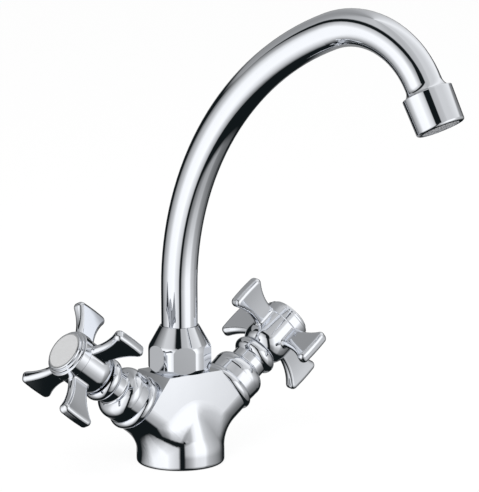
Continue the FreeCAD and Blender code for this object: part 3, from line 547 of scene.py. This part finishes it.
CHROMES = {
    "casting_chrome": (0.045, 16, 0.03),
    "tube_chrome": (0.03, 30, 0.015),
    "nut_chrome": (0.035, 9, 0.006, (0, 0, 1), 0.0002),
    "handle_chrome": (0.045, 8, 0.01),
    "outlet_chrome": (0.04, 12, 0.008, OUTLET_AXIS, 0.0003),
    "left_shroud_chrome": (0.035, 12, 0.01, LEFT_AXIS, 0.0002),
    "right_shroud_chrome": (0.035, 12, 0.01, RIGHT_AXIS, 0.0002),
}
finishes = {name: chrome(name, *values) for name, values in CHROMES.items()}
print(len(finishes), "kinds of chrome")

# %% [markdown]
# ## The caps
#
# Each cap has polished stepped rings around a satin disc. The disc could be a separate piece, but on the
# real cap it is the same metal, frosted inside a mask. So one finish covers the cap, and the distance
# from the handle's axis tells which part is frosted. A thin ring just inside the disc's edge is made
# darker, and a fine grain gives the frost its sparkle.

# %% Satin cap
DISC_EDGE = (9.2, 9.4)
DISC_DEPTH = (0.5, 0.3)
DISC_TINT = (0.95, 0.955, 0.965)
DISC_SHADE = 0.99
DISC_SWING = 0.06
DISC_METAL = 0.25
DISC_ROUGHNESS = 0.36
BORDER_EDGE = (8.75, 8.9)
BORDER_DARKENING = 0.45
GRAIN_SIZE = 0.12
GRAIN_DEPTH = 0.004
CLOUD_SIZE = 5
RING_HAZE = 0.035


def reach_of(name, axis):
    """How far a piece reaches along an arm, in millimetres."""
    return max((vertex.co - ARM_FOOT).dot(axis) for vertex in pieces[name].data.vertices) / MILLIMETRE


CAP_TOP = reach_of("left_cap", LEFT_AXIS)


def satin_cap(name, axis):
    """Polished rings around a frosted disc."""
    material, tree = new_finish(name)
    place = place_on(tree)
    radius = from_axis(place, axis, ARM_FOOT) / MILLIMETRE
    height = along_axis(place, axis, ARM_FOOT) / MILLIMETRE
    lowest, highest = (CAP_TOP - depth for depth in DISC_DEPTH)
    frost = (1 - step(radius, *DISC_EDGE)) * step(height, lowest, highest)
    border = frost * step(radius, *BORDER_EDGE)
    grain = noise(place, GRAIN_SIZE * MILLIMETRE, detail=2.0)
    cloud = noise(place, CLOUD_SIZE * MILLIMETRE, detail=2.0, seed=2.0)
    polished = tinted(around(cloud, SMEAR_SHADE), CHROME_TINT)
    shade = around(cloud, DISC_SWING, DISC_SHADE) + around(grain, DISC_SWING, 0)
    pale = tinted(shade - border * BORDER_DARKENING, DISC_TINT)
    colour = tree.node("ShaderNodeMix", {"data_type": "RGBA"}, {"Factor": frost, 6: polished, 7: pale}, 2)
    shell(tree, {
        "Base Color": colour,
        "Metallic": 1 - frost * (1 - DISC_METAL),
        "Roughness": RING_HAZE + frost * around(grain, 0.1, DISC_ROUGHNESS),
        "Normal": bump(grain * frost, GRAIN_DEPTH * MILLIMETRE),
    })
    return material


finishes["left_cap_satin"] = satin_cap("left_cap_satin", LEFT_AXIS)
finishes["right_cap_satin"] = satin_cap("right_cap_satin", RIGHT_AXIS)
print(f"caps reach {CAP_TOP:.1f} mm along the arms")

# %% [markdown]
# ## Brass and steel inside
#
# The headworks, spindles and the foot of the spout are bare brass, cut on a lathe and never polished, and
# the clips are spring steel. They hide when the tap is whole, but they show as soon as it is taken apart.
# Cut metal is rougher than chrome, with plain tool rings, and old brass darkens in patches.

# %% Brass and steel
PATCH_SIZE = 6
RING_SQUEEZE = (1, 1, 6)


def cut_metal(name, colour, roughness, patch_depth, ring_size, ring_depth):
    """Bare metal with tool rings and darker patches."""
    material, tree = new_finish(name)
    place = place_on(tree)
    patches = noise(place, PATCH_SIZE * MILLIMETRE, detail=4.0, seed=1.0)
    rings = noise(place * RING_SQUEEZE, ring_size * MILLIMETRE, detail=2.0, seed=3.0)
    shell(tree, {
        "Base Color": tinted(1.0 - patches * patch_depth, colour),
        "Roughness": roughness * around(patches, 0.6),
        "Normal": bump(rings, ring_depth * MILLIMETRE),
    }, {"Metallic": 1.0})
    return material


finishes["bare_brass"] = cut_metal("bare_brass", (0.83, 0.65, 0.36), 0.28, 0.3, 0.5, 0.004)
finishes["spring_steel"] = cut_metal("spring_steel", (0.62, 0.62, 0.64), 0.24, 0.15, 0.4, 0.002)
print("brass and steel")

# %% [markdown]
# ## Rubber, plastic and ceramic inside
#
# Seals are black rubber with a dull skin and moulding dust, the slip ring is natural nylon that yellows a
# little, the flow straightener is a pale moulded plastic, and the valve discs are ceramic lapped so flat
# that two of them cling together. One recipe serves all four: a colour with soft clouds, and a skin
# whose roughness and grain are set for each.

# %% Rubber, plastic and ceramic
SKIN_CLOUD_SIZE = 4


def moulded(name, colour, cloudiness, roughness, grain_size, grain_depth, fixed=None):
    """A moulded or pressed material with a skin of its own."""
    material, tree = new_finish(name)
    place = place_on(tree)
    clouds = noise(place, SKIN_CLOUD_SIZE * MILLIMETRE, detail=3.0, seed=5.0)
    grain = noise(place, grain_size * MILLIMETRE, detail=3.0)
    shell(tree, {
        "Base Color": tinted(around(clouds, cloudiness), colour),
        "Roughness": roughness * around(clouds, 0.3),
        "Normal": bump(grain, grain_depth * MILLIMETRE),
    }, fixed)
    return material


finishes["black_rubber"] = moulded("black_rubber", (0.03, 0.03, 0.032), 0.5, 0.62, 0.3, 0.02)
finishes["natural_nylon"] = moulded("natural_nylon", (0.82, 0.79, 0.68), 0.12, 0.42, 0.5, 0.008)
finishes["white_plastic"] = moulded("white_plastic", (0.72, 0.73, 0.74), 0.06, 0.38, 0.4, 0.006)
finishes["white_ceramic"] = moulded("white_ceramic", (0.86, 0.85, 0.81), 0.04, 0.12, 0.2, 0.0006,
                                    {"Coat Weight": 0.3})
print(len(finishes), "finishes in all")

# %% [markdown]
# ## The gauze in the outlet
#
# The last thing that the water passes is a fine wire gauze, held by the lip of the outlet. From a step
# away it reads as a grey disc, almost flush with the rim. Weaving every wire would cost thousands of
# faces for what no eye resolves, and a drawn weave would only flicker, so it is a thin crowned disc with
# a rolled edge and the soft grey of many wires.

# %% Gauze
GAUZE_RADIUS = 9.15
GAUZE_RECESS = 0.55
GAUZE_CROWN = 0.25
GAUZE_EDGE = 0.3
GAUZE_THICKNESS = 0.1
GAUZE_RINGS = 12
GAUZE_EDGE_STEPS = 8
GAUZE_SEGMENTS = 96
WIRE_TINT = (0.8, 0.81, 0.83)
WIRE_CLOUD_SIZE = 3


def gauze_finish():
    """Fine steel wire seen from a step away: a soft grey with faint clouds."""
    material, tree = new_finish("wire_gauze")
    clouds = noise(place_on(tree), WIRE_CLOUD_SIZE * MILLIMETRE, detail=2.0, seed=6.0)
    shell(tree, {
        "Base Color": tinted(around(clouds, 0.08), WIRE_TINT),
        "Roughness": around(clouds, 0.1, 0.6),
    }, {"Metallic": 0.2})
    return material


def build_gauze():
    """A thin crowned disc with a rolled edge, turned about the outlet's axis."""
    right = OUTLET_AXIS.cross(Vector((0, 0, 1))).normalized()
    ahead = OUTLET_AXIS.cross(right)
    shares = [ring / GAUZE_RINGS for ring in range(1, GAUZE_RINGS)]
    profile = [(GAUZE_RADIUS * share, GAUZE_CROWN * (1 - share ** 2)) for share in shares]
    for turn in range(GAUZE_EDGE_STEPS + 1):
        roll = math.pi * (1 - turn / GAUZE_EDGE_STEPS)
        radius = GAUZE_RADIUS - GAUZE_EDGE - GAUZE_EDGE * math.cos(roll)
        profile.append((radius, GAUZE_EDGE * math.sin(roll)))
    mesh = bmesh.new()
    tip = outlet_mouth - OUTLET_AXIS * GAUZE_RECESS * MILLIMETRE
    middle = mesh.verts.new(tip + OUTLET_AXIS * GAUZE_CROWN * MILLIMETRE)
    rings = []
    for radius, height in profile:
        ring = []
        for part in range(GAUZE_SEGMENTS):
            angle = 2 * math.pi * part / GAUZE_SEGMENTS
            side = right * math.cos(angle) + ahead * math.sin(angle)
            ring.append(mesh.verts.new(tip + (side * radius + OUTLET_AXIS * height) * MILLIMETRE))
        rings.append(ring)
    for part in range(GAUZE_SEGMENTS):
        following = (part + 1) % GAUZE_SEGMENTS
        mesh.faces.new((middle, rings[0][part], rings[0][following]))
        for inner, outer in zip(rings, rings[1:]):
            mesh.faces.new((inner[part], outer[part], outer[following], inner[following]))
    bmesh.ops.solidify(mesh, geom=mesh.faces, thickness=GAUZE_THICKNESS * MILLIMETRE)
    bmesh.ops.recalc_face_normals(mesh, faces=mesh.faces)
    data = bpy.data.meshes.new("outlet_gauze")
    mesh.to_mesh(data)
    mesh.free()
    data.polygons.foreach_set("use_smooth", [True] * len(data.polygons))
    gauze = bpy.data.objects.new("outlet_gauze", data)
    bpy.context.scene.collection.objects.link(gauze)
    data.materials.append(gauze_finish())
    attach(gauze, "spout")
    return gauze


gauze = build_gauze()
print(len(gauze.data.polygons), "faces in the gauze")

# %% [markdown]
# ## Dress every piece
#
# The record already says which finish each piece has, so nothing is listed twice. The left and the right
# arm have their own rings, and those pieces take the finish that carries their side's name.


# %% Dress
def finish_for(name, slot):
    """The finish of a piece: its side's own, where there is one."""
    side = name.split("_")[0]
    return finishes.get(f"{side}_{slot}") or finishes[slot]


for part in record["subparts"]:
    materials = pieces[part["node"]].data.materials
    materials.clear()
    materials.append(finish_for(part["node"], part["material_slot"]))
print(len(record["subparts"]), "pieces dressed")
